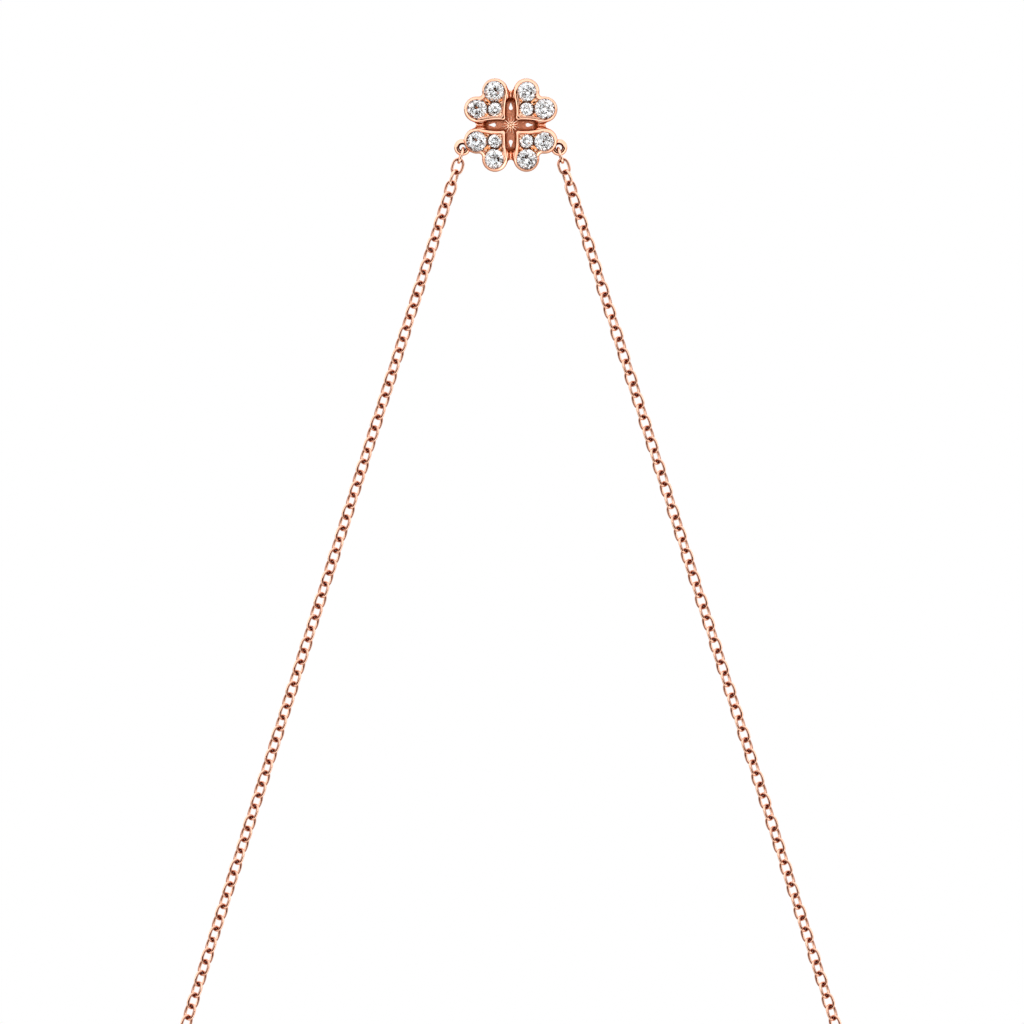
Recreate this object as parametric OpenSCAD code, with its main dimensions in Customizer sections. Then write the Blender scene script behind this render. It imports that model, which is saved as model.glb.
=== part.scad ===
// Four leaf clover pendant on its cable chain, hung up by the nape of the loop.
// Millimetres, Z up, the front of the clover looks to -Y, the loop lies in the XZ plane.
// The origin is on the chain's own centre line, in the middle of the nape.

/* [Clover] */
// Across the clover from lobe to lobe
pendant_span = 12.3; // [12.1:0.1:13.6]
// Front of the rims to the back of the plate
setting_depth = 1.9; // [1.8:0.05:2.3]
// Outer diameter of the two side rings
side_ring = 2.2; // [2.1:0.02:2.3]

/* [Stones] */
// Girdle diameter of the eight large stones
large_stone = 2.66; // [2.5:0.01:2.68]
// Girdle diameter of the four small stones
small_stone = 1.78; // [1.6:0.01:1.8]

/* [Chain] */
// Length of the closed necklace, pendant and clasp included
necklace_length = 401; // [340:1:404]
// Thickness of the link wire
wire = 0.35; // [0.3:0.01:0.36]
// Outer width of a link
link_width = 1.76; // [1.72:0.02:1.9]
// Lean of each straight leg from the vertical, degrees
leg_lean = 17.57; // [14:0.01:20]

/* [Clasp] */
// Outer diameter of the spring ring
clasp_size = 6.2; // [5.6:0.1:7.4]

/* [Hidden] */
$fn = 48;

gold = [0.86, 0.55, 0.42];
ice = [0.93, 0.95, 0.97];

// the clover is drawn on a grid of q millimetres, 92.8 of them lobe to lobe
q = pendant_span / 92.8;
lobe_u = 15.6;      // outer circle of a lobe, off the nearer axis
lobe_v = 33.6;      // and along it
lobe_r = 12.8;
stone_u = 16.3;     // centre of a large stone
stone_v = 33.8;
small_at = 15.7;    // centre of a small stone, both ways
heart_notch = 29.3; // where the two lobes of a petal meet
axis_notch = 34.4;  // where two petals meet
recess_end = 24.6;  // outer end of the leaf shaped recess
plate_half = 7;     // half width of the plate under the recess
plate_reach = recess_end + 1.4;
ray_end = 7.9;      // outer end of the rays round the boss

back = -setting_depth / 2;
rim = setting_depth / 2;
floor_w = rim - 0.45;
plate_w = back + 0.55;
boss_height = 0.5;
ray = 0.11;
gap = 0.04;
lip = 0.05;

// a brilliant: girdle top is z 0, table up
large_crown = 0.15 * large_stone;
small_crown = 0.15 * small_stone;
girdle = 0.06;
large_seat = rim - 0.31;
small_seat = rim - 0.31;

// chain: pitch keeps 0.14 mm between the wires of two links
link_gap = 0.14;
link_length = 2.38;
pitch = link_length - 2 * wire - link_gap + (wire - 0.35) * 2 + 0.0004;
ring_u = lobe_v + 14.4;   // out from the lobe that the side ring is soldered to
ring_v = lobe_u + 6.7;
ring_tube = side_ring * 0.1235;
ring_mid = side_ring / 2 - ring_tube;

// first link: fixed by the side ring, the wire passes 2 tubes inside its far side
start_s = 0.5 * pitch;
leg_dir = [sin(leg_lean), cos(leg_lean)];
link1 = [(ring_u + 1.39) * q, (ring_v + 7.8) * q];
x0 = link1[0] - start_s * leg_dir[0];
z0 = link1[1] - start_s * leg_dir[1];

// clasp run along X, from the left eye to the end ring
clasp_tube = 0.5;
clasp_mid = clasp_size / 2 - clasp_tube;
eye_tube = 0.22;
eye_mid = 0.8;
end_tube = 0.32;
end_mid = 1.9;
link_hold = 0.5 * (link_length - wire) - 0.5 * pitch;
hook = link_hold - 0.5 * wire - 0.12;
run = 2 * eye_mid + (eye_tube + clasp_tube - 0.12) + 2 * clasp_mid
    - (clasp_tube + 0.12 + end_tube) + 2 * end_mid;
clasp_half = (run + (hook - eye_tube) + (hook - end_tube)) / 2;
eye_x = -clasp_half + hook - eye_tube + eye_mid;
clasp_x = eye_x + eye_mid + eye_tube + clasp_tube - 0.12 + clasp_mid;
end_x = clasp_x + clasp_mid - clasp_tube - 0.12 - end_tube + end_mid;

corner = 32;
count = round((necklace_length / 2 - x0 - clasp_half) / pitch);
sweep = (90 + leg_lean) * PI / 180;
leg = (count * pitch + clasp_half - x0 + corner * (cos(leg_lean) - sweep))
    / (1 + sin(leg_lean));
corner_x = x0 + leg * leg_dir[0] - corner * cos(leg_lean);
corner_z = z0 + leg * leg_dir[1] + corner * sin(leg_lean);
nape = corner_z + corner;   // height of the nape above the clover's centre

// where a link sits: [x, z, lean] at s along one side
function spot(s) =
  s < leg ? [x0 + s * leg_dir[0], z0 + s * leg_dir[1], leg_lean]
  : s < leg + corner * sweep
    ? let (a = -leg_lean + (s - leg) / corner * 180 / PI)
      [corner_x + corner * cos(a), corner_z + corner * sin(a), -a]
    : [corner_x - (s - leg - corner * sweep), nape, -90];

// how far a link is turned about the chain: the first ones as seen in the photo,
// then a run of four that repeats; the last one stands across the ring it hangs on
repeat = [46.2, -21.5, 37.8, -28.6];
facing = -4.5;      // both straight legs are turned this much more, the same way
function turned(i, side) =
  i == 1 ? 90 : i == 2 ? 8 : i == 3 ? -57 : i == 4 ? 24 : i == 5 ? -34
  : i < count ? repeat[i % 4]
  : side < 0 ? (repeat[(i - 1) % 4] > 0 ? -75 : 75)
  : (repeat[(i - 1) % 4] > 0 ? -24 : 40);

module at_clover() translate([0, 0, -nape]) rotate([90, 0, 0]) children();

// one petal outline, for the quarter with u and v above zero
module petal() {
  t = (pow(heart_notch - lobe_u, 2) + pow(heart_notch - lobe_v, 2) - lobe_r * lobe_r)
      / (2 * lobe_r - sqrt(2) * (2 * heart_notch - lobe_u - lobe_v));
  c = heart_notch + t / sqrt(2);
  side = [[5.9, 5.9], [5.1, 6.7], [5.4, 10], [5.5, 14], [5.2, 19.5], [4.4, 25.5],
    [3.4, 30]];
  union() {
    translate([lobe_u, lobe_v] * q) circle(r = lobe_r * q);
    translate([lobe_v, lobe_u] * q) circle(r = lobe_r * q);
    difference() {
      polygon([for (p = side) p * q, [lobe_u, lobe_v] * q, [c, c] * q,
        [lobe_v, lobe_u] * q, for (i = [6:-1:1]) [side[i][1], side[i][0]] * q]);
      translate([c, c] * q) circle(r = 0.97 * t * q);
    }
  }
}

// the sunk floor of a petal, between the rim and the stones
module pocket() {
  r = large_stone / 2 - lip;
  translate([stone_u, stone_v] * q) circle(r = r);
  translate([stone_v, stone_u] * q) circle(r = r);
  polygon([[8.5, 8.5], [7.9, 9.3], [8.3, 14], [7.9, 24], [8.4, 29], [stone_u, stone_v],
    [23.8, 23.8], [stone_v, stone_u], [29, 8.4], [24, 7.9], [14, 8.3], [9.3, 7.9]] * q);
}

// metal that ties two petals together outside the recess, for the axis u = 0
module bridge() {
  t = (lobe_u * lobe_u + pow(axis_notch - lobe_v, 2) - lobe_r * lobe_r)
      / (2 * lobe_r - 2 * (axis_notch - lobe_v));
  c = axis_notch + t;
  difference() {
    polygon([[-lobe_u, lobe_v], [-9, recess_end], [9, recess_end], [lobe_u, lobe_v],
      [0, c]] * q);
    translate([0, c] * q) circle(r = 0.97 * t * q);
  }
}

// teardrop window with its point outward
module window() polygon([[0, 23], [-0.9, 21.2], [-1.7, 19.2], [-2.1, 17.4], [-1.9, 15.8],
  [-1.1, 14.8], [0, 14.4], [1.1, 14.8], [1.9, 15.8], [2.1, 17.4], [1.7, 19.2],
  [0.9, 21.2]] * q);

// room for one stone: pavilion cone, girdle, then the mouth under the rim's lip
module seat(r, depth, top, mouth) {
  rotate_extrude() polygon([[0, top - girdle - depth - 0.09], [r + gap, top - girdle - 0.03],
    [r + gap, top + 0.04], [mouth, top + 0.08], [mouth, top + 2], [0, top + 2]]);
  translate([0, 0, back - 1]) cylinder(r = r * 0.5, h = top - girdle - depth * 0.75 - back + 1);
}

module setting() color(gold) at_clover() {
  difference() {
    union() {
      for (i = [0:3]) rotate([0, 0, 90 * i]) {
        translate([0, 0, back]) linear_extrude(setting_depth) petal();
        translate([0, 0, back]) linear_extrude(setting_depth - 0.5) bridge();
      }
      for (i = [0:1]) rotate([0, 0, 90 * i])
        translate([-plate_half * q, -plate_reach * q, back])
          cube([2 * plate_half * q, 2 * plate_reach * q, plate_w - back]);
      translate([0, 0, plate_w - 0.1]) cylinder(r = 3.3 * q, h = boss_height + 0.1);
      translate([0, 0, plate_w + boss_height]) sphere(r = 4.0 * q);
      for (i = [0:11]) rotate([0, 0, 30 * i + 15])
        translate([1.5 * q, -ray / 2, plate_w - 0.1])
          cube([(ray_end - 1.5) * q, ray, boss_height + 0.12]);
      for (s = [-1, 1]) translate([s * ring_u * q, ring_v * q, 0])
        rotate_extrude() translate([ring_mid, 0]) circle(r = ring_tube);
    }
    for (i = [0:3]) rotate([0, 0, 90 * i]) {
      translate([0, 0, floor_w]) linear_extrude(setting_depth) pocket();
      for (p = [[stone_u, stone_v], [stone_v, stone_u]]) translate([p[0] * q, p[1] * q, 0])
        seat(large_stone / 2, 0.43 * large_stone, large_seat, large_stone / 2 - lip);
      translate([small_at * q, small_at * q, 0])
        seat(small_stone / 2, 0.43 * small_stone, small_seat, small_stone / 2 + gap);
      translate([0, 0, back - 1]) linear_extrude(setting_depth + 1) window();
    }
  }
  for (i = [0:3]) rotate([0, 0, 90 * i]) {
    for (p = [[22.95, 22.95, 0.26], [8.9, 23.7, 0.22], [23.7, 8.9, 0.22], [9.6, 9.6, 0.18]])
      translate([p[0] * q, p[1] * q, rim - 0.13 - p[2]]) sphere(r = p[2]);
  }
}

// brilliant cut: table, stars, kites, girdle and pavilion
module brilliant(r, crown, depth) {
  t = 0.57 * r;
  m = 0.763 * r;
  p = 0.24 * r;
  mz = crown * (r - m * cos(22.5)) / (r - t);
  pz = -girdle - depth * (1 - p * cos(22.5) / r);
  pts = [for (i = [0:7]) [t * cos(45 * i), t * sin(45 * i), crown],
    for (i = [0:7]) [m * cos(45 * i + 22.5), m * sin(45 * i + 22.5), mz],
    for (i = [0:15]) [r * cos(22.5 * i), r * sin(22.5 * i), 0],
    for (i = [0:15]) [r * cos(22.5 * i), r * sin(22.5 * i), -girdle],
    for (i = [0:7]) [p * cos(45 * i + 22.5), p * sin(45 * i + 22.5), pz],
    [0, 0, -girdle - depth]];
  faces = [[7, 6, 5, 4, 3, 2, 1, 0],
    for (i = [0:7]) [i, (i + 1) % 8, 8 + i],
    for (i = [0:7]) [i, 8 + i, 16 + 2 * i],
    for (i = [0:7]) [i, 16 + 2 * i, 8 + (i + 7) % 8],
    for (i = [0:7]) [8 + i, 17 + 2 * i, 16 + 2 * i],
    for (i = [0:7]) [8 + i, 16 + (2 * i + 2) % 16, 17 + 2 * i],
    for (i = [0:15]) [16 + i, 16 + (i + 1) % 16, 32 + (i + 1) % 16],
    for (i = [0:15]) [16 + i, 32 + (i + 1) % 16, 32 + i],
    for (i = [0:7]) [48 + i, 32 + 2 * i, 33 + 2 * i],
    for (i = [0:7]) [48 + i, 33 + 2 * i, 32 + (2 * i + 2) % 16],
    for (i = [0:7]) [56, 32 + 2 * i, 48 + i],
    for (i = [0:7]) [56, 48 + (i + 7) % 8, 32 + 2 * i]];
  polyhedron(points = pts, faces = faces);
}

// large stones run round the clover from the right hand upper petal
module large_stone_at(k) color(ice) at_clover()
  rotate([0, 0, 90 * floor((k - 1) / 2)])
    translate([(k % 2 == 1 ? stone_v : stone_u) * q, (k % 2 == 1 ? stone_u : stone_v) * q,
      large_seat])
      rotate([0, 0, 11 * k]) brilliant(large_stone / 2, large_crown, 0.43 * large_stone);

module small_stone_at(k) color(ice) at_clover()
  rotate([0, 0, 90 * (k - 1)]) translate([small_at * q, small_at * q, small_seat])
    rotate([0, 0, 17 * k]) brilliant(small_stone / 2, small_crown, 0.43 * small_stone);

// one link, long way up, six sided wire with the same section all round
module link() {
  b = (link_width - wire) / 2;
  a = (link_length - wire) / 2;
  for (s = [0, 180]) rotate([0, s, 0]) translate([0, 0, a - b]) rotate([90, 0, 0])
    rotate_extrude(angle = 180) translate([b, 0]) circle(r = wire / 2, $fn = 6);
  for (s = [-1, 1]) translate([s * b, 0, b - a])
    linear_extrude(2 * (a - b)) circle(r = wire / 2, $fn = 6);
}

// side is 1 for the right hand chain and -1 for the left
module chain(side) color(gold)
  for (i = [1:count]) {
    p = spot((i - 0.5) * pitch);
    translate([side * p[0], 0, p[1] - nape]) rotate([0, side * p[2], 0])
      rotate([0, 0, side * turned(i, side) + ((i - 0.5) * pitch < leg ? facing : 0)]) link();
  }

// ring with a round wire, lying in the XZ plane at x on the nape
module hoop(x, mid, tube) translate([x, 0, 0]) rotate([90, 0, 0])
  rotate_extrude() translate([mid, 0]) circle(r = tube);

module clasp() color(gold) {
  hoop(clasp_x, clasp_mid, clasp_tube);
  hoop(eye_x, eye_mid, eye_tube);
}

module end_ring() color(gold) translate([end_x, 0, 0])
  rotate_extrude() translate([end_mid, 0]) circle(r = end_tube);

setting();
large_stone_at(1);  // large_stone_1
large_stone_at(2);  // large_stone_2
large_stone_at(3);  // large_stone_3
large_stone_at(4);  // large_stone_4
large_stone_at(5);  // large_stone_5
large_stone_at(6);  // large_stone_6
large_stone_at(7);  // large_stone_7
large_stone_at(8);  // large_stone_8
small_stone_at(1);  // small_stone_1
small_stone_at(2);  // small_stone_2
small_stone_at(3);  // small_stone_3
small_stone_at(4);  // small_stone_4
chain(-1);  // chain_left
chain(1);  // chain_right
clasp();
end_ring();
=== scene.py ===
import math

import bmesh
import bpy
from mathutils import Matrix, Vector


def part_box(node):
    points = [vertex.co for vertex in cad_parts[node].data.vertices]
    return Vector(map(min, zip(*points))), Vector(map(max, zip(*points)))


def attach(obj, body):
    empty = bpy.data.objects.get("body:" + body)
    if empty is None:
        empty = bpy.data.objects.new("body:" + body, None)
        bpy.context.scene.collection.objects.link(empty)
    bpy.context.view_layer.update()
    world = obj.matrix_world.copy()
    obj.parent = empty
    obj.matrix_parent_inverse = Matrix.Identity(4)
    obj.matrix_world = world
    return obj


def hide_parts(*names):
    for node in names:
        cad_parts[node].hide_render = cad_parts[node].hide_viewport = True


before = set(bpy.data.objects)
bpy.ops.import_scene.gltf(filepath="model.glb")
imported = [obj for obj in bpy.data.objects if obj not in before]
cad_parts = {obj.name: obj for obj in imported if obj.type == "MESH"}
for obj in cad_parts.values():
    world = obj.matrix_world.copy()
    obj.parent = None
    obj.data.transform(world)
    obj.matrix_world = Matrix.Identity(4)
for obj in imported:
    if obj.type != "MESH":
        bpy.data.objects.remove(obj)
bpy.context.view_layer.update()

# The petals: four heart shaped cups of cast rose gold, each with a rounded rim that is
# burnished over the edges of three stones. Every stone sits over an open seat that runs
# through to the back, so that light reaches it from behind.
MM = 0.001
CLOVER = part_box("setting")
CENTRE = (CLOVER[0] + CLOVER[1]) / 2
STEP = (CLOVER[1].z - CLOVER[0].z) / 92.8       # one step of the drawing, lobe to lobe is 92.8
FACE_ON = Matrix.Translation(CENTRE) @ Matrix.Rotation(math.radians(90), 4, "X")
QUARTERS = [Matrix.Rotation(math.radians(90 * k), 4, "Z") for k in range(4)]
BACK, FLOOR, RIM = -0.95, 0.42, 0.95            # millimetres along the clover's depth
LARGE_SPOT, SMALL_SPOT = (16.3, 33.8), (15.7, 15.7)
LARGE_SEAT, SMALL_SEAT = (1.17, 0.665, -0.2), (0.72, 0.445, 0.05)   # mouth, hole, foot of the cone
PAINTED_BACK_SHADE = 0.35
VERT, EDGE = bmesh.types.BMVert, bmesh.types.BMEdge


def at(u, v, w=0.0):
    """A point of the clover's drawing: u and v in steps of the drawing, w in millimetres."""
    return Vector((u * STEP, v * STEP, w * MM))


def clamp(value):
    """Keeps a share between 0 and 1."""
    return max(0.0, min(1.0, value))


def only(kind, geometry):
    """The points, or the edges, among what a mesh tool gives back."""
    return [g for g in geometry if isinstance(g, kind)]


def edges_of(verts):
    """Every edge that ends at one of the points."""
    return list({e for v in verts for e in v.link_edges})


def bend_wire(start, *moves):
    """An outline made as a wire is bent: straight to a point, or round a centre by an angle."""
    bm = bmesh.new()
    tip = bm.verts.new(at(*start))
    points = [tip.co.copy()]
    for kind, spot, steps, *angle in moves:
        for k in range(steps):
            if kind == "line":
                goal = points[-1].lerp(at(*spot), 1 / (steps - k))
                tip = bmesh.ops.extrude_vert_indiv(bm, verts=[tip])["verts"][0]
                tip.co = goal
            else:
                turned = bmesh.ops.spin(bm, geom=[tip], cent=at(*spot), axis=(0, 0, 1),
                                        angle=math.radians(angle[0] / steps), steps=1)
                tip = only(VERT, turned["geom_last"])[0]
            points.append(tip.co.copy())
    bm.free()
    return points


def lay_loop(bm, points, depth):
    """Puts a closed outline into the mesh, and marks each point with its place along it."""
    station = bm.verts.layers.int.get("station") or bm.verts.layers.int.new("station")
    verts = [bm.verts.new((p.x, p.y, depth * MM)) for p in points]
    for k, vert in enumerate(verts):
        vert[station] = k
    return [bm.edges.new((verts[k - 1], verts[k])) for k in range(len(verts))]


def draw_on(bm, edges, move):
    """Pulls a wall out of a loop of edges; move says where each new point goes."""
    made = bmesh.ops.extrude_edge_only(bm, edges=edges)["geom"]
    verts = set(only(VERT, made))
    for vert in verts:
        vert.co = move(vert)
    return [e for e in only(EDGE, made) if set(e.verts) <= verts]


def cover(bm, edges):
    """Fills one flat side, holes left open, between the loops of edges."""
    bmesh.ops.triangle_fill(bm, use_beauty=True, edges=edges, normal=(0, 0, 1))


def seat(bm, spot, mouth, hole, foot):
    """The seat of one stone: a cone under the girdle, then a plain hole to the back."""
    centre = at(*spot)
    ring = bmesh.ops.create_circle(bm, radius=mouth * MM, segments=36,
                                   matrix=Matrix.Translation(at(*spot, FLOOR)))
    top = edges_of(ring["verts"])
    edges, radius = top, mouth
    for wide, depth in ((mouth * 0.985, FLOOR - 0.03), (hole * 1.02, foot), (hole, foot - 0.05),
                        (hole, BACK + 0.05), (hole + 0.05, BACK)):
        share = wide / radius
        edges = draw_on(bm, edges, lambda v: Vector((
            centre.x + (v.co.x - centre.x) * share, centre.y + (v.co.y - centre.y) * share,
            depth * MM)))
        radius = wide
    return top, edges


def turn_round(bm, matrices):
    """Repeats what is in the mesh at each of the given places, the first one as it stands."""
    geometry = bm.verts[:] + bm.edges[:] + bm.faces[:]
    for matrix in matrices[1:]:
        copy = bmesh.ops.duplicate(bm, geom=geometry)["geom"]
        bmesh.ops.transform(bm, matrix=matrix, verts=only(VERT, copy))


def keep_piece(bm, name, material, nodes, place=FACE_ON, crease=38):
    """Closes the mesh, puts it in its place in the frame and hands it over as one piece."""
    bmesh.ops.remove_doubles(bm, verts=bm.verts, dist=1e-7)
    bmesh.ops.recalc_face_normals(bm, faces=bm.faces)
    bmesh.ops.transform(bm, matrix=place, verts=bm.verts)
    mesh = bpy.data.meshes.new(name)
    bm.to_mesh(mesh)
    bm.free()
    mesh.materials.append(material)
    mesh.shade_smooth()
    mesh.set_sharp_from_angle(angle=math.radians(crease))
    piece = bpy.data.objects.new(name, mesh)
    bpy.context.scene.collection.objects.link(piece)
    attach(piece, "root")
    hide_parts(*nodes)
    return piece


def set_inputs(node, values):
    """Sets a node's own sockets by their names."""
    for name, value in values.items():
        node.inputs[name].default_value = value


def set_range(node, low, high, to_low=0.0, to_high=1.0):
    """Has a Map Range node turn low to high into to_low to to_high."""
    set_inputs(node, {"From Min": low, "From Max": high, "To Min": to_low, "To Max": to_high})


def link_nodes(tree, *pairs):
    """Joins each output to its input."""
    for out, into in pairs:
        tree.links.new(out, into)


def worn_metal_and_painted_shade():
    """Shared by every gold finish: soft clouds of tone, polishing marks, dents and a grain, and
    painted shade: a dark colour mixed in where the mesh's shade attribute is high.
    """
    group = bpy.data.node_groups.new("worn metal and painted shade", "ShaderNodeTree")
    sockets = group.interface
    for name, kind, value in (("Light tone", "NodeSocketColor", (1, 1, 1, 1)),
                              ("Deep tone", "NodeSocketColor", (1, 1, 1, 1)),
                              ("Painted shade", "NodeSocketColor", (1, 1, 1, 1)),
                              ("Smoothness", "NodeSocketFloat", 0.1),
                              ("Marks", "NodeSocketFloat", 0.06),
                              ("Mark size", "NodeSocketFloat", 2500.0),
                              ("Dents", "NodeSocketFloat", 0.2)):
        socket = sockets.new_socket(name=name, in_out="INPUT", socket_type=kind)
        socket.default_value = value
    for name, kind in (("Colour", "NodeSocketColor"), ("Roughness", "NodeSocketFloat"),
                       ("Normal", "NodeSocketVector")):
        sockets.new_socket(name=name, in_out="OUTPUT", socket_type=kind)
    new = group.nodes.new
    given, result = new("NodeGroupInput"), new("NodeGroupOutput")
    where = new("ShaderNodeTexCoord")
    clouds, scuffs, grain = (new("ShaderNodeTexNoise") for _ in range(3))
    set_inputs(clouds, {"Scale": 900, "Detail": 3})
    set_inputs(scuffs, {"Detail": 4})
    set_inputs(grain, {"Scale": 9000})
    brushed = new("ShaderNodeMapping")
    set_inputs(brushed, {"Scale": (1, 0.35, 0.12), "Rotation": (0.3, 0.2, 0.6)})
    tone, darker = new("ShaderNodeMix"), new("ShaderNodeMix")
    tone.data_type = darker.data_type = "RGBA"
    # Painted shade: a mesh attribute mixes the dark shade colour into the tone, in creases, hollows
    # and where parts touch.
    painted_shade = new("ShaderNodeAttribute")
    painted_shade.attribute_name = "painted_shade"
    level = new("ShaderNodeMapRange")
    set_range(level, 0.35, 0.65)
    scaled, rough, mixed = (new("ShaderNodeMath") for _ in range(3))
    scaled.operation = "MULTIPLY"
    rough.operation = mixed.operation = "ADD"
    bump = new("ShaderNodeBump")
    set_inputs(bump, {"Distance": 0.00001})
    link_nodes(group,
               (where.outputs["Object"], clouds.inputs["Vector"]),
               (where.outputs["Object"], brushed.inputs["Vector"]),
               (where.outputs["Object"], grain.inputs["Vector"]),
               (brushed.outputs["Vector"], scuffs.inputs["Vector"]),
               (given.outputs["Mark size"], scuffs.inputs["Scale"]),
               (clouds.outputs["Fac"], level.inputs["Value"]),
               (level.outputs["Result"], tone.inputs["Factor"]),
               (given.outputs["Light tone"], tone.inputs["A"]),
               (given.outputs["Deep tone"], tone.inputs["B"]),
               (painted_shade.outputs["Fac"], darker.inputs["Factor"]),
               (tone.outputs["Result"], darker.inputs["A"]),
               (given.outputs["Painted shade"], darker.inputs["B"]),
               (darker.outputs["Result"], result.inputs["Colour"]),
               (scuffs.outputs["Fac"], scaled.inputs[0]),
               (given.outputs["Marks"], scaled.inputs[1]),
               (scaled.outputs[0], rough.inputs[0]),
               (given.outputs["Smoothness"], rough.inputs[1]),
               (rough.outputs[0], result.inputs["Roughness"]),
               (scuffs.outputs["Fac"], mixed.inputs[0]),
               (grain.outputs["Fac"], mixed.inputs[1]),
               (mixed.outputs[0], bump.inputs["Height"]),
               (given.outputs["Dents"], bump.inputs["Strength"]),
               (bump.outputs["Normal"], result.inputs["Normal"]))
    return group


WORN_METAL_AND_PAINTED_SHADE = worn_metal_and_painted_shade()


def gold_finish(name, light, deep, smoothness, marks=0.06, mark_size=2500.0, dents=0.2,
                painted_shade_colour=(0.36, 0.085, 0.025)):
    """A metal finish: its own shader, fed by the shared group of tone, marks, dents and painted
    shade.
    """
    material = bpy.data.materials.new(name)
    material.use_nodes = True
    tree = material.node_tree
    shader = tree.nodes["Principled BSDF"]
    set_inputs(shader, {"Metallic": 1.0, "Specular Tint": (0.92, 0.5, 0.34, 1)})
    wear_and_painted_shade = tree.nodes.new("ShaderNodeGroup")
    wear_and_painted_shade.name = "wear_and_painted_shade"
    wear_and_painted_shade.node_tree = WORN_METAL_AND_PAINTED_SHADE
    set_inputs(wear_and_painted_shade, {"Light tone": (*light, 1), "Deep tone": (*deep, 1), "Painted shade": (*painted_shade_colour, 1),
                      "Smoothness": smoothness, "Marks": marks, "Mark size": mark_size,
                      "Dents": dents})
    link_nodes(tree, (wear_and_painted_shade.outputs["Colour"], shader.inputs["Base Color"]),
               (wear_and_painted_shade.outputs["Roughness"], shader.inputs["Roughness"]),
               (wear_and_painted_shade.outputs["Normal"], shader.inputs["Normal"]))
    return material


polished = gold_finish("polished rose gold", (0.95, 0.585, 0.425), (0.91, 0.50, 0.34), 0.06)
outer = bend_wire((5.9, 5.9), ("line", (5.21, 6.7), 1), ("arc", (-62.3, 13), 10, 19.76),
                  ("arc", (15.6, 33.6), 40, -203.4), ("arc", (31.73, 31.73), 10, 103.2),
                  ("arc", (33.6, 15.6), 40, -203.4), ("arc", (13, -62.3), 10, 19.76))
inner = bend_wire((9.7, 9.7), ("line", (8.9, 11.2), 1), ("line", (9.25, 19.5), 5),
                  ("line", (8.67, 28.57), 5), ("arc", (16.3, 33.8), 40, -243.6),
                  ("line", (26.3, 26.3), 5), ("line", (28.57, 25.06), 5),
                  ("arc", (33.8, 16.3), 40, -243.6), ("line", (19.5, 9.25), 5),
                  ("line", (11.2, 8.9), 5))
# The last column is painted shade: darker low on the outer wall and over the inner edge down into
# the seats, less so on the inner half beside an arm.
rim_profile = (                                 # share of the way in, depth, groove, painted shade
    (0.0, BACK + 0.06, 0, 0.5), (0.0, RIM - 0.39, 0, 0.9), (0.03, RIM - 0.32, 0, 0.8),
    (0.1, RIM - 0.25, 0, 0.4), (0.2, RIM - 0.19, 0, 0), (0.3, RIM - 0.15, 0, 0),
    (0.4, RIM - 0.11, 0, 0), (0.5, RIM - 0.08, 0, 0), (0.6, RIM - 0.05, 0.01, 0),
    (0.68, RIM - 0.025, 0.05, 0), (0.76, RIM - 0.006, 0.12, 0.05), (0.85, RIM, 0.13, 0.35),
    (0.92, RIM - 0.012, 0.05, 0.75), (0.97, RIM - 0.05, 0.02, 0.9), (1.0, RIM - 0.14, 0, 1),
    (1.0, RIM - 0.25, 0, 0.9), (0.74, RIM - 0.31, 0, 0.4), (0.74, FLOOR, 0, 0.1))
FLATTER_RIM, UPPER_PART, OUTER_PART = 0.32, 0.5, 0.7    # beside an arm the rim is less round
petals = bmesh.new()
back_edge = lay_loop(petals, [a.lerp(b, 0.1) for a, b in zip(outer, inner)], BACK)
where_on = petals.verts.layers.int["station"]
painted_shade = petals.verts.layers.float.new("painted_shade")
# How far each point of the outline lies beside an arm of the sunk cross, from 0 to 1.
beside_arm = [clamp(6.6 - min(p.x, p.y) / STEP) * clamp(4.2 - max(p.x, p.y) / STEP / 9)
              for p in outer]
wall = back_edge
for share, depth, groove, shade_share in rim_profile:
    flatter = FLATTER_RIM * (RIM - depth) if depth > UPPER_PART and share < OUTER_PART else 0.0
    wall = draw_on(petals, wall, lambda v: (
        outer[v[where_on]].lerp(inner[v[where_on]], share)
        + Vector((0, 0, (depth + (flatter - groove) * beside_arm[v[where_on]]) * MM))))
    for vert in {v for e in wall for v in e.verts}:
        vert[painted_shade] = shade_share * (1 - beside_arm[vert[where_on]] * (share > 0.5))
seats = [seat(petals, LARGE_SPOT, *LARGE_SEAT), seat(petals, LARGE_SPOT[::-1], *LARGE_SEAT),
         seat(petals, SMALL_SPOT, *SMALL_SEAT)]
# Painted shade over the whole flat back.
for vert in petals.verts:
    if vert.co.z < (BACK + 0.01) * MM:
        vert[painted_shade] = PAINTED_BACK_SHADE
cover(petals, wall + [e for top, _ in seats for e in top])
cover(petals, back_edge + [e for _, bottom in seats for e in bottom])
turn_round(petals, QUARTERS)
keep_piece(petals, "petals", polished, ["setting"])
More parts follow.
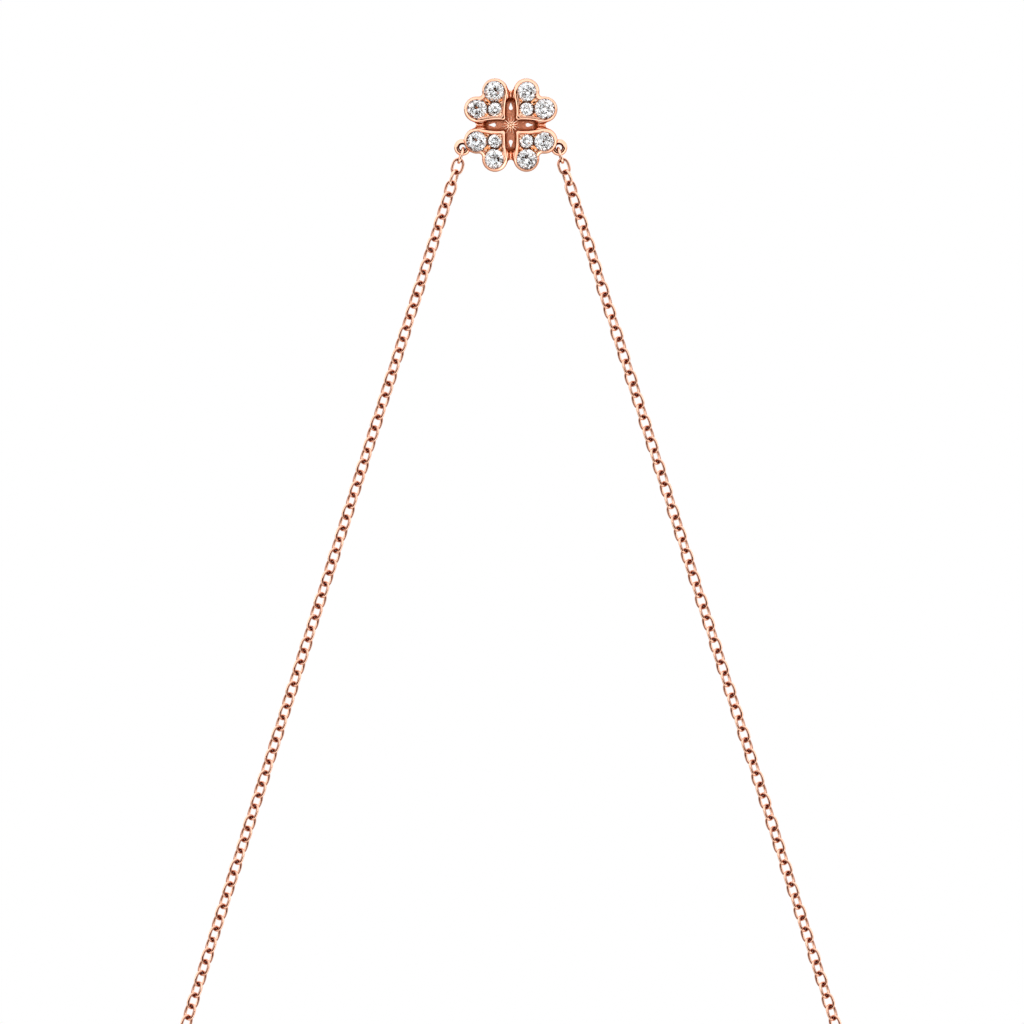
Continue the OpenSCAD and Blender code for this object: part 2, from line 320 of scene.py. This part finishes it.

# The beads: small grains of the same gold, raised beside the stones and pushed over their edges.
# They stand on low pillows of metal left between the seats, and facets are cut into the inner corner
# of each petal. The pillows are painted a deeper orange, a painted reflection of the gold around
# them; the grains and the corner facets are painted paler, a painted highlight.
# Paler copy of the gold: painted highlight.
highlight_painted_gold = gold_finish("grains with painted highlights", (0.98, 0.74, 0.57), (0.95, 0.64, 0.46), 0.16,
                     marks=0.1, mark_size=5200.0)
# Deeper orange copy of the gold: painted reflection between the stones.
between = gold_finish("gold between stones", (0.92, 0.42, 0.19), (0.82, 0.28, 0.10), 0.12,
                      marks=0.1, mark_size=5200.0)
for name, finish, lean, grains in (             # u, v, radius, depth under the rim, stretch, rise
        ("pillows", between, 0, (
            (23.9, 23.9, 0.40, 0.27, 1.5, 0.55), (9.4, 24.2, 0.26, 0.27, 1.3, 0.55),
            (24.2, 9.4, 0.26, 0.27, 1.3, 0.55))),
        ("corner_cuts", highlight_painted_gold, -28, (
            (10.9, 10.9, 0.40, 0.26, 1.05, 0.5), (9.6, 13.6, 0.22, 0.2, 1.0, 0.6),
            (13.6, 9.6, 0.22, 0.2, 1.0, 0.6))),
        ("beads", highlight_painted_gold, 0, (
            (24.9, 24.9, 0.17, 0.12, 1.3, 1.15), (9.2, 22.6, 0.14, 0.13, 1.4, 1.15),
            (22.6, 9.2, 0.14, 0.13, 1.4, 1.15), (10.2, 10.2, 0.13, 0.03, 1.3, 1.15),
            (21.4, 21.4, 0.13, 0.15, 1.4, 1.15), (11.6, 24.6, 0.11, 0.18, 1.4, 1.15),
            (24.6, 11.6, 0.11, 0.18, 1.4, 1.15), (27.3, 25.9, 0.10, 0.14, 1.0, 1.15),
            (25.9, 27.3, 0.10, 0.14, 1.0, 1.15)))):
    beads = bmesh.new()
    for u, v, radius, top, stretch, rise in grains:
        along = Matrix.Rotation(math.atan2(v - SMALL_SPOT[1], u - SMALL_SPOT[0]), 4, "Z")
        bmesh.ops.create_icosphere(
            beads, subdivisions=3, radius=radius * MM,
            matrix=Matrix.Translation(at(u, v, RIM - top - radius * rise)) @ along
            @ Matrix.Rotation(math.radians(lean), 4, "Y")
            @ Matrix.Diagonal((stretch, 1, rise, 1)))
    turn_round(beads, QUARTERS)
    keep_piece(beads, name, finish, ["setting"])

# The plate: a flat cross behind the petals, left matt and dark so that the polished parts
# stand out. One teardrop window is sawn through each arm, its point outward.
PLATE = -0.40
TEAR_MIDDLE = (0, 17.8)
matt = gold_finish("matt recess", (0.88, 0.38, 0.23), (0.74, 0.28, 0.155), 0.42,
                   marks=0.2, mark_size=5200.0, dents=0.5)
# Painted shade: the plate turns darker along the arms' sides and at their tips.
tree = matt.node_tree
new = tree.nodes.new
where, parts, lowered = (new(kind) for kind in (
    "ShaderNodeTexCoord", "ShaderNodeSeparateXYZ", "ShaderNodeMath"))
lowered.operation, lowered.inputs[1].default_value = "SUBTRACT", CENTRE.z
off_side, off_height, nearer, farther, most = (new("ShaderNodeMath") for _ in range(5))
off_side.operation = off_height.operation = "ABSOLUTE"
nearer.operation, farther.operation, most.operation = "MINIMUM", "MAXIMUM", "MAXIMUM"
beside, beyond = new("ShaderNodeMapRange"), new("ShaderNodeMapRange")
for node, low, high in ((beside, 2.2, 5.2), (beyond, 20.5, 25.0)):
    node.interpolation_type = "SMOOTHSTEP"
    set_range(node, low * STEP, high * STEP)
painted_recess_shade = new("ShaderNodeMix")
painted_recess_shade.data_type = "RGBA"
set_inputs(painted_recess_shade, {"B": (0.30, 0.065, 0.018, 1)})
link_nodes(tree, (where.outputs["Object"], parts.inputs["Vector"]),
           (parts.outputs["X"], off_side.inputs[0]), (parts.outputs["Z"], lowered.inputs[0]),
           (lowered.outputs[0], off_height.inputs[0]),
           (off_side.outputs[0], nearer.inputs[0]), (off_height.outputs[0], nearer.inputs[1]),
           (off_side.outputs[0], farther.inputs[0]), (off_height.outputs[0], farther.inputs[1]),
           (nearer.outputs[0], beside.inputs["Value"]), (farther.outputs[0], beyond.inputs["Value"]),
           (beside.outputs["Result"], most.inputs[0]), (beyond.outputs["Result"], most.inputs[1]),
           (most.outputs[0], painted_recess_shade.inputs["Factor"]),
           (tree.nodes["wear_and_painted_shade"].outputs["Colour"], painted_recess_shade.inputs["A"]),
           (painted_recess_shade.outputs["Result"], tree.nodes["Principled BSDF"].inputs["Base Color"]))
plate = bmesh.new()
cross = bend_wire((7, -7), *[("line", spot, 1) for spot in (
    (29, -5.5), (29, 5.5), (7, 7), (5.5, 29), (-5.5, 29), (-7, 7), (-29, 5.5), (-29, -5.5),
    (-7, -7), (-5.5, -29), (5.5, -29))])
tear = bend_wire((0, 22.7), ("line", (-1.85, 17.6), 6), ("arc", (0, 16.7), 18, 232),
                 ("line", (0, 22.7), 6))[:-1]
top_edges = lay_loop(plate, cross, PLATE)
low_edges = draw_on(plate, top_edges, lambda v: Vector((v.co.x, v.co.y, BACK * MM)))
where_on = plate.verts.layers.int["station"]
for quarter in QUARTERS:
    flat, middle = [quarter @ p for p in tear], quarter @ at(*TEAR_MIDDLE)
    rim_edges = lay_loop(plate, flat, PLATE)
    edges = rim_edges
    for grow, depth in ((0.94, PLATE - 0.04), (0.94, BACK + 0.06), (1.02, BACK)):
        edges = draw_on(plate, edges, lambda v: (
            middle.lerp(flat[v[where_on]], grow) + Vector((0, 0, depth * MM))))
    top_edges = top_edges + rim_edges
    low_edges = low_edges + edges
cover(plate, top_edges)
cover(plate, low_edges)
keep_piece(plate, "recess_plate", matt, ["setting"])

# The bridges: four saddles that tie neighbouring petals together beyond the recess. Each
# has a raised spine along its middle with a groove on both sides, and is soldered in.
FOOT, FOOT_HALF, HEAD_HALF = 26.6, 5.2, 3.2     # steps of the drawing
HEAD, NOTCH = 37.74, 3.24                       # the outer end is the notch between two lobes
SADDLE, SPINE = 0.46, 0.19                      # millimetres
bridges = bmesh.new()
painted_shade = bridges.verts.layers.float.new("painted_shade")
sheet = bmesh.ops.create_grid(bridges, x_segments=40, y_segments=12, size=1.0)["verts"]
for vert in sheet:
    across, along = vert.co.x, (vert.co.y + 1) / 2
    u = across * (FOOT_HALF - (FOOT_HALF - HEAD_HALF) * along)
    # The inner edge is a tongue with a nick in its middle and a small lobe on either side.
    start = (FOOT - 0.24 * u * u - 0.9 * math.exp(-(u / 0.7) ** 2)
             + 1.3 * math.exp(-((abs(u) - 1.6) / 0.75) ** 2))
    end = HEAD - math.sqrt(NOTCH ** 2 - min(HEAD_HALF, abs(u)) ** 2)
    v = start + along * (end - start)
    ridge = abs(1 - abs(u) / 2.1)
    fall = max(0.0, along - 0.8) / 0.2
    tongue = max(0.0, 0.3 - along) / 0.3
    vert.co = at(u, v, SADDLE + SPINE * ridge - 0.2 * fall ** 2 - 0.1 * tongue ** 2)
    # Painted shade: darker in the grooves beside the spine, at the inner end and along the side
    # edges.
    vert[painted_shade] = min(1.0, max(0.0, 1.3 - 3.0 * ridge, 1 - along / 0.1,
                                 (abs(across) - 0.75) / 0.15))
skirt = [e for e in bridges.edges if e.is_boundary]
skirt = draw_on(bridges, skirt, lambda v: Vector((v.co.x, v.co.y, v.co.z - 0.05 * MM)))
skirt = draw_on(bridges, skirt, lambda v: Vector((v.co.x, v.co.y, BACK * MM)))
cover(bridges, skirt)
turn_round(bridges, QUARTERS)
keep_piece(bridges, "bridges", polished, ["setting"])

# The boss: a small dome of grains in the middle of the cross, with a ring of fine gold
# rays that reach out over the dark plate like the threads in a flower.
GRAINS, RAYS, RAY_REACH = 6, 14, (8.2, 7.0)
boss = bmesh.new()
bmesh.ops.create_cone(boss, cap_ends=True, segments=32, radius1=5.8 * STEP, radius2=2.4 * STEP,
                      depth=0.62 * MM, matrix=Matrix.Translation(at(0, 0, PLATE + 0.29)))
for k in range(GRAINS):
    spot = Matrix.Rotation(math.radians(360 / GRAINS * k + 20), 4, "Z") @ at(2.5, 0, 0.30)
    bmesh.ops.create_icosphere(boss, subdivisions=3, radius=1.2 * STEP,
                               matrix=Matrix.Translation(spot))
bmesh.ops.create_icosphere(boss, subdivisions=3, radius=1.35 * STEP,
                           matrix=Matrix.Translation(at(0, 0, 0.42)))
for k in range(RAYS):
    turn = Matrix.Rotation(math.radians(360 / RAYS * k + 9), 4, "Z")
    foot, tip = at(2.6, 0, 0.36), at(RAY_REACH[k % 2], 0, 0.12)
    run = tip - foot
    lean = Matrix.Rotation(math.atan2(run.x, run.z), 4, "Y")
    bmesh.ops.create_cone(
        boss, cap_ends=True, segments=10, radius1=0.085 * MM, radius2=0.06 * MM,
        depth=run.length, matrix=turn @ Matrix.Translation((foot + tip) / 2) @ lean)
    bmesh.ops.create_icosphere(boss, subdivisions=2, radius=0.075 * MM,
                               matrix=turn @ Matrix.Translation(tip))
# The boss is made in the paler gold: a painted highlight.
keep_piece(boss, "boss", highlight_painted_gold, ["setting"])

# The side rings: two rings of thick, slightly oval wire, soldered to the outer petals, from which
# the chain hangs. Their inner sides, towards the hole, are painted darker: painted shade.
RING_SPOT, RING_MIDDLE = (48.0, 22.3), 0.745
RING_WIRE, RING_FLATTER, RING_SLANT = 0.38, 0.71, 30
INSIDE, INSIDE_FADE = 0.66, 0.12
ring_gold = gold_finish("side ring gold", (0.95, 0.57, 0.42), (0.92, 0.50, 0.34), 0.1,
                        painted_shade_colour=(0.085, 0.010, 0.004))
rings = bmesh.new()
painted_shade = rings.verts.layers.float.new("painted_shade")
for side in (-1, 1):
    ring_spot = at(side * RING_SPOT[0], RING_SPOT[1])
    section = bmesh.ops.create_circle(
        rings, radius=RING_WIRE * MM, segments=24,
        matrix=Matrix.Translation(ring_spot + Vector((RING_MIDDLE * MM, 0, 0)))
        @ Matrix.Rotation(math.radians(RING_SLANT), 4, "Y")
        @ Matrix.Diagonal((1, 1, RING_FLATTER, 1))
        @ Matrix.Rotation(math.radians(90), 4, "X"))["verts"]
    # Painted shade on the side of the wire towards the hole.
    for vert in section:
        vert[painted_shade] = clamp((ring_spot.x + INSIDE * MM - vert.co.x) / (INSIDE_FADE * MM))
    bmesh.ops.spin(rings, geom=section + edges_of(section), cent=ring_spot, axis=(0, 0, 1),
                   angle=math.tau, steps=48, use_merge=True)
keep_piece(rings, "side_rings", ring_gold, ["setting"])

# The stones: eight large and four small round brilliants. They are the solids of the exact
# model, with table, star, kite, girdle and pavilion facets, cut from clear crystal. Small
# tilts over the facets break up what they reflect.
TILT = 0.22
clear = bpy.data.materials.new("cut stone")
clear.use_nodes = True
tree = clear.node_tree
new = tree.nodes.new
shader = tree.nodes["Principled BSDF"]
set_inputs(shader, {"Transmission Weight": 1.0, "IOR": 2.417})
where, surface, haze = (new(kind) for kind in (
    "ShaderNodeTexCoord", "ShaderNodeNewGeometry", "ShaderNodeTexNoise"))
painted_dark_glints, cells = new("ShaderNodeTexVoronoi"), new("ShaderNodeTexVoronoi")
for node, scale in ((painted_dark_glints, 1900), (haze, 1400), (cells, 1700)):
    set_inputs(node, {"Scale": scale})
# Painted reflections: small grey spots in the stones' colour stand in for dark glints in the facets.
tint = new("ShaderNodeValToRGB")
tint.color_ramp.elements[0].position, tint.color_ramp.elements[0].color = 0.02, (0.5, 0.52, 0.55, 1)
tint.color_ramp.elements[1].position, tint.color_ramp.elements[1].color = 0.12, (0.93, 0.97, 1, 1)
gloss = new("ShaderNodeMapRange")
set_range(gloss, 0.0, 1.0, 0.0, 0.03)
offset, tilted, unit = (new("ShaderNodeVectorMath") for _ in range(3))
offset.operation, offset.inputs[1].default_value = "SUBTRACT", (0.5, 0.5, 0.5)
tilted.operation, tilted.inputs[1].default_value = "MULTIPLY_ADD", (TILT, TILT, TILT)
unit.operation = "NORMALIZE"
link_nodes(tree, (where.outputs["Object"], painted_dark_glints.inputs["Vector"]),
           (where.outputs["Object"], haze.inputs["Vector"]),
           (painted_dark_glints.outputs["Distance"], tint.inputs["Fac"]),
           (tint.outputs["Color"], shader.inputs["Base Color"]),
           (haze.outputs["Fac"], gloss.inputs["Value"]),
           (gloss.outputs["Result"], shader.inputs["Roughness"]),
           (where.outputs["Object"], cells.inputs["Vector"]),
           (cells.outputs["Color"], offset.inputs[0]), (offset.outputs[0], tilted.inputs[0]),
           (surface.outputs["Normal"], tilted.inputs[2]), (tilted.outputs[0], unit.inputs[0]),
           (unit.outputs[0], shader.inputs["Normal"]))
for name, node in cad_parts.items():
    if "stone" in name:
        node.data.materials.clear()
        node.data.materials.append(clear)

# The chain: a fine cable chain of oval links, each bent from round wire, threaded through the next
# one, turned about it and soldered shut. The links are a little thicker at their ends. They are
# painted darker where they touch, a painted shade, and a dark line along their wide sides is a
# painted reflection.
WIRE, LINK_LENGTH, LINK_WIDTH, PITCH, LINKS = 0.40, 2.42, 1.76, 1.5404, 123
FULLER_SECTION, THICKER_ENDS, OVAL_SHARE = 1.16, 0.10, 0.3
LEAN, CORNER, CLASP_HALF = math.radians(17.57), 32.0, 4.8098
# Turns about the chain in degrees: the first links one by one, then a run that repeats, and
# a small turn that all the links of both legs share.
TURNS = {1: 90, 2: 8, 3: -57, 4: 24, 5: -34}
RUN_OF_FOUR, FACING = (46.2, -21.5, 37.8, -28.6), -4.5
FIRST_LINK = (49.39, 30.1)                      # steps of the drawing, out and up from the centre
drawn = gold_finish("drawn rose gold wire", (0.95, 0.63, 0.48), (0.91, 0.54, 0.39), 0.02,
                    marks=0.05, mark_size=4200.0, dents=0.15, painted_shade_colour=(0.17, 0.022, 0.007))
step_mm = STEP / MM
start_x = FIRST_LINK[0] * step_mm - 0.5 * PITCH * math.sin(LEAN)
start_z = FIRST_LINK[1] * step_mm - 0.5 * PITCH * math.cos(LEAN)
sweep = math.pi / 2 + LEAN
leg = ((LINKS * PITCH + CLASP_HALF - start_x + CORNER * (math.cos(LEAN) - sweep))
       / (1 + math.sin(LEAN)))
bend_x = start_x + leg * math.sin(LEAN) - CORNER * math.cos(LEAN)
bend_z = start_z + leg * math.cos(LEAN) + CORNER * math.sin(LEAN)


def along_chain(s):
    """Where the chain is at s millimetres from the side ring, and how far it leans."""
    if s < leg:
        return start_x + s * math.sin(LEAN), start_z + s * math.cos(LEAN), LEAN
    if s < leg + CORNER * sweep:
        turn = -LEAN + (s - leg) / CORNER
        return bend_x + CORNER * math.cos(turn), bend_z + CORNER * math.sin(turn), -turn
    return bend_x - (s - leg - CORNER * sweep), bend_z + CORNER, -math.pi / 2


def turned(k, side):
    """How far link k is turned about the chain, in degrees; the last one meets its ring."""
    if k in TURNS:
        return TURNS[k]
    if k < LINKS:
        return RUN_OF_FOUR[k % 4]
    before = RUN_OF_FOUR[(k - 1) % 4] > 0
    return (-75 if before else 75) if side < 0 else (-24 if before else 40)


def one_link():
    """One oval link, its long way up: two half rings of round wire and two straights."""
    bm = bmesh.new()
    half, rise = (LINK_WIDTH - WIRE) / 2 * MM, (LINK_LENGTH - LINK_WIDTH) / 2 * MM
    section = bmesh.ops.create_circle(bm, radius=WIRE / 2 * FULLER_SECTION * MM, segments=6,
                                      matrix=Matrix.Translation((half, 0, -rise)))["verts"]
    geometry = section + edges_of(section)
    for end in (1, -1):
        up = bmesh.ops.extrude_edge_only(bm, edges=only(EDGE, geometry))["geom"]
        verts = only(VERT, up)
        bmesh.ops.translate(bm, verts=verts, vec=(0, 0, 2 * rise * end))
        edges = [e for e in only(EDGE, up) if set(e.verts) <= set(verts)]
        round_end = bmesh.ops.spin(bm, geom=verts + edges, cent=(0, 0, rise * end), axis=(0, -1, 0),
                                   angle=math.pi, steps=6)
        geometry = round_end["geom_last"]
    bmesh.ops.remove_doubles(bm, verts=bm.verts, dist=1e-7)
    bmesh.ops.recalc_face_normals(bm, faces=bm.faces)
    painted_shade = bm.verts.layers.float.new("painted_shade")
    for vert in bm.verts:
        in_end = abs(vert.co.z) > rise
        round_centre = Vector((0, 0, math.copysign(rise, vert.co.z)))
        flat = Vector((vert.co.x, 0, vert.co.z)) - round_centre
        inward = (half - flat.length) / (WIRE / 2 * MM)
        endward = abs(flat.z) / half if in_end else 0.0
        thicker = 1.0 + THICKER_ENDS * clamp(abs(vert.co.z) / (rise + half) * 3 - 1.5)
        middle = round_centre + flat.normalized() * half if in_end else Vector(
            (math.copysign(half, vert.co.x), 0, vert.co.z))
        oval = half * math.sqrt(max(0.0, 1 - (middle.z / (rise + half)) ** 2)) / max(
            abs(middle.x), 1e-9)
        drawn_in = Vector((middle.x * (1 - OVAL_SHARE + OVAL_SHARE * min(1.0, oval)), 0, middle.z))
        vert.co = drawn_in + (vert.co - middle) * thicker
        # Painted light: a dark line along the wide sides is a painted reflection, and the insides of
        # the ends, where links touch, get painted shade.
        painted_dark_line = 0.8 * max(0.0, abs(vert.co.y) / (WIRE / 2 * MM) - 0.8) / 0.36
        vert[painted_shade] = max(painted_dark_line, clamp((inward + 0.25) * 1.8) * clamp((endward - 0.42) * 3.2))
    mesh = bpy.data.meshes.new("one link")
    bm.to_mesh(mesh)
    bm.free()
    return mesh


LINK, UNMOVED = one_link(), Matrix.Identity(4)
for side, name, node in ((-1, "left_links", "chain_left"), (1, "right_links", "chain_right")):
    links = bmesh.new()
    for k in range(1, LINKS + 1):
        s = (k - 0.5) * PITCH
        x, z, leaning = along_chain(s)
        turn = math.radians(side * turned(k, side) + (FACING if s < leg else 0))
        place = (Matrix.Translation((side * x * MM, 0, CENTRE.z + z * MM))
                 @ Matrix.Rotation(side * leaning, 4, "Y") @ Matrix.Rotation(turn, 4, "Z"))
        old = len(links.verts)
        links.from_mesh(LINK)
        links.verts.ensure_lookup_table()
        bmesh.ops.transform(links, matrix=place, verts=links.verts[old:])
    chain = keep_piece(links, name, drawn, [node], place=UNMOVED, crease=180)
    rounder = chain.modifiers.new("rounder", "SUBSURF")
    rounder.levels = rounder.render_levels = 1

# The clasp: a spring ring at the nape, of round tube, with a collar where the tube is
# closed, a small thumb stud and an eye that the left half of the chain is linked to.
clasp_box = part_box("clasp")
CLASP_TUBE, CLASP_MIDDLE, EYE_TUBE, EYE_MIDDLE = 0.5, 2.6, 0.22, 0.8
COLLARS, STUD_TURN, STUD_FOOT, STUD_HEAD = (-0.5, 0.62, 2.2), 48, 3.2, 3.42


def hoop(bm, spot, middle, tube, axis, part=1.0, start=0.0):
    """A ring of round wire, or a part of one, about the given axis."""
    out = Vector((math.cos(start), 0, math.sin(start))) if axis == "Y" else Vector((1, 0, 0))
    tilt = (Matrix.Rotation(-start, 4, "Y") if axis == "Y"
            else Matrix.Rotation(math.radians(90), 4, "X"))
    section = bmesh.ops.create_circle(
        bm, radius=tube * MM, segments=20, cap_ends=part < 1.0,
        matrix=Matrix.Translation(spot + out * middle * MM) @ tilt)["verts"]
    faces = list({f for v in section for f in v.link_faces})
    bmesh.ops.spin(bm, geom=section + edges_of(section) + faces, cent=spot,
                   axis=(0, -1, 0) if axis == "Y" else (0, 0, 1), angle=math.tau * part,
                   steps=max(2, round(56 * part)), use_merge=part == 1.0)


clasp_spot = Vector((clasp_box[1].x - (CLASP_MIDDLE + CLASP_TUBE) * MM, 0, 0))
eye_spot = Vector((clasp_box[0].x + (EYE_MIDDLE + EYE_TUBE) * MM, 0, 0))
clasp = bmesh.new()
hoop(clasp, clasp_spot, CLASP_MIDDLE, CLASP_TUBE * 0.96, "Y")
hoop(clasp, eye_spot, EYE_MIDDLE, EYE_TUBE, "Y")
for collar in COLLARS:
    hoop(clasp, clasp_spot, CLASP_MIDDLE, CLASP_TUBE, "Y", part=0.03, start=collar)
stud = Matrix.Translation(clasp_spot) @ Matrix.Rotation(-math.radians(STUD_TURN), 4, "Y")
bmesh.ops.create_cone(clasp, cap_ends=True, segments=16, radius1=0.2 * MM, radius2=0.17 * MM,
                      depth=0.5 * MM, matrix=stud @ Matrix.Translation((STUD_FOOT * MM, 0, 0))
                      @ Matrix.Rotation(math.radians(90), 4, "Y"))
bmesh.ops.create_uvsphere(clasp, u_segments=16, v_segments=10, radius=0.24 * MM,
                          matrix=stud @ Matrix.Translation((STUD_HEAD * MM, 0, 0)))
keep_piece(clasp, "spring_ring", polished, ["clasp"], place=UNMOVED)

# The end ring: a plain ring of round rose gold wire, bent and soldered shut on the last
# link of the right half, for the clasp to catch.
end_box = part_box("end_ring")
END_TUBE, END_MIDDLE = 0.32, 1.9
end_spot = Vector(((end_box[0].x + end_box[1].x) / 2, 0, 0))
end_ring = bmesh.new()
hoop(end_ring, end_spot, END_MIDDLE, END_TUBE, "Z")
keep_piece(end_ring, "catch_ring", polished, ["end_ring"], place=UNMOVED)

# The studio: a plain pale floor far below the hanging necklace, a white backdrop and soft
# light from all round, stronger on the left, with a dark gap in front, where the camera
# stands. Mirrored in metal it is slightly warm; through the stones it is white and stronger.
paper = bpy.data.materials.new("pale paper")
paper.use_nodes = True
set_inputs(paper.node_tree.nodes["Principled BSDF"],
           {"Base Color": (0.93, 0.93, 0.93, 1), "Roughness": 0.9})
GROUND, GROUND_HALF = -0.30, 20.0               # metres
ground = bmesh.new()
bmesh.ops.create_grid(ground, x_segments=1, y_segments=1, size=GROUND_HALF,
                      matrix=Matrix.Translation((0, 0, GROUND)))
ground_mesh = bpy.data.meshes.new("floor")
ground.to_mesh(ground_mesh)
ground.free()
ground_mesh.materials.append(paper)
floor = bpy.data.objects.new("floor", ground_mesh)
bpy.context.scene.collection.objects.link(floor)
world = bpy.data.worlds.new("studio")
bpy.context.scene.world = world
world.use_nodes = True
tree = world.node_tree
tree.nodes.clear()
new = tree.nodes.new
direction, parts, ray, uneven = (new(kind) for kind in (
    "ShaderNodeTexCoord", "ShaderNodeSeparateXYZ", "ShaderNodeLightPath", "ShaderNodeTexNoise"))
set_inputs(uneven, {"Scale": 1.6})
forward, folds, height, one_sided = (new("ShaderNodeMapRange") for _ in range(4))
set_range(forward, 1.0, -1.0)
set_range(folds, 0.35, 0.65, 0.8, 1.3)
set_range(height, -1.0, 1.0, 1.12, 0.86)
set_range(one_sided, -1.0, 1.0, 1.15, 0.68)
tent, through = new("ShaderNodeValToRGB"), new("ShaderNodeValToRGB")
for ramp, rows in (                             # place from back to front, strength, warmth
        (tent, ((0.0, 0.25, 0.8), (0.05, 0.9, 1), (0.3, 0.8, 0.9), (0.5, 0.94, 0.9),
                (0.6, 1.32, 0.95), (0.7, 2.2, 1), (0.78, 2.7, 1), (0.83, 1.0, 0.75),
                (0.87, 0.05, 0.42))),
        (through, ((0.0, 1.7, 1), (0.3, 1.3, 1), (0.55, 1.8, 1), (0.7, 3.0, 1), (0.83, 4.2, 1),
                   (0.865, 1.8, 1), (0.88, 0.03, 1), (0.97, 0.0, 1)))):
    stops = ramp.color_ramp.elements
    for k, (spot, strength, warmth) in enumerate(rows):
        stop = stops[k] if k < 2 else stops.new(spot)
        stop.position, stop.color = spot, (strength, strength * warmth, strength * warmth ** 2, 1)
mixed = new("ShaderNodeMix")
mixed.data_type = "RGBA"
shaded, dimmed = new("ShaderNodeMath"), new("ShaderNodeMath")
shaded.operation = dimmed.operation = "MULTIPLY"
soft, white = new("ShaderNodeBackground"), new("ShaderNodeBackground")
set_inputs(white, {"Color": (1, 1, 1, 1)})
either, out = new("ShaderNodeMixShader"), new("ShaderNodeOutputWorld")
link_nodes(tree, (direction.outputs["Generated"], parts.inputs["Vector"]),
           (direction.outputs["Generated"], uneven.inputs["Vector"]),
           (parts.outputs["Y"], forward.inputs["Value"]),
           (forward.outputs["Result"], tent.inputs["Fac"]),
           (forward.outputs["Result"], through.inputs["Fac"]),
           (ray.outputs["Is Glossy Ray"], mixed.inputs["Factor"]),
           (through.outputs["Color"], mixed.inputs["A"]), (tent.outputs["Color"], mixed.inputs["B"]),
           (mixed.outputs["Result"], soft.inputs["Color"]),
           (uneven.outputs["Fac"], folds.inputs["Value"]),
           (parts.outputs["Z"], height.inputs["Value"]),
           (folds.outputs["Result"], shaded.inputs[0]),
           (height.outputs["Result"], shaded.inputs[1]),
           (parts.outputs["X"], one_sided.inputs["Value"]),
           (shaded.outputs[0], dimmed.inputs[0]), (one_sided.outputs["Result"], dimmed.inputs[1]),
           (dimmed.outputs[0], soft.inputs["Strength"]),
           (ray.outputs["Is Camera Ray"], either.inputs["Fac"]),
           (soft.outputs[0], either.inputs[1]), (white.outputs[0], either.inputs[2]),
           (either.outputs[0], out.inputs["Surface"]))

# The camera: a long lens 3.6 m off, a little to the left of the clover and below it, and
# upside down, because the photograph shows the hanging necklace turned round.
bpy.context.scene.view_settings.view_transform = "Standard"
VIEW_WIDTH, AWAY, SENSOR = 135.0 * MM, 3.6, 36.0
AIM = Vector((-0.17 * MM, 0, -109.88 * MM))
aside, from_below = math.radians(0.8), math.radians(2.5)
ahead = Vector((math.sin(aside) * math.cos(from_below), math.cos(aside) * math.cos(from_below),
                math.sin(from_below)))
lens = bpy.data.cameras.new("camera")
lens.sensor_width = SENSOR
lens.lens = SENSOR * AWAY / VIEW_WIDTH
lens.clip_start, lens.clip_end = 0.1, 60.0
camera = bpy.data.objects.new("camera", lens)
bpy.context.scene.collection.objects.link(camera)
down = -Vector((-math.sin(aside) * math.sin(from_below), -math.cos(aside) * math.sin(from_below),
                math.cos(from_below)))
facing = Matrix((down.cross(-ahead), down, -ahead)).transposed()
camera.matrix_world = Matrix.Translation(AIM - ahead * AWAY) @ facing.to_4x4()
bpy.context.scene.camera = camera
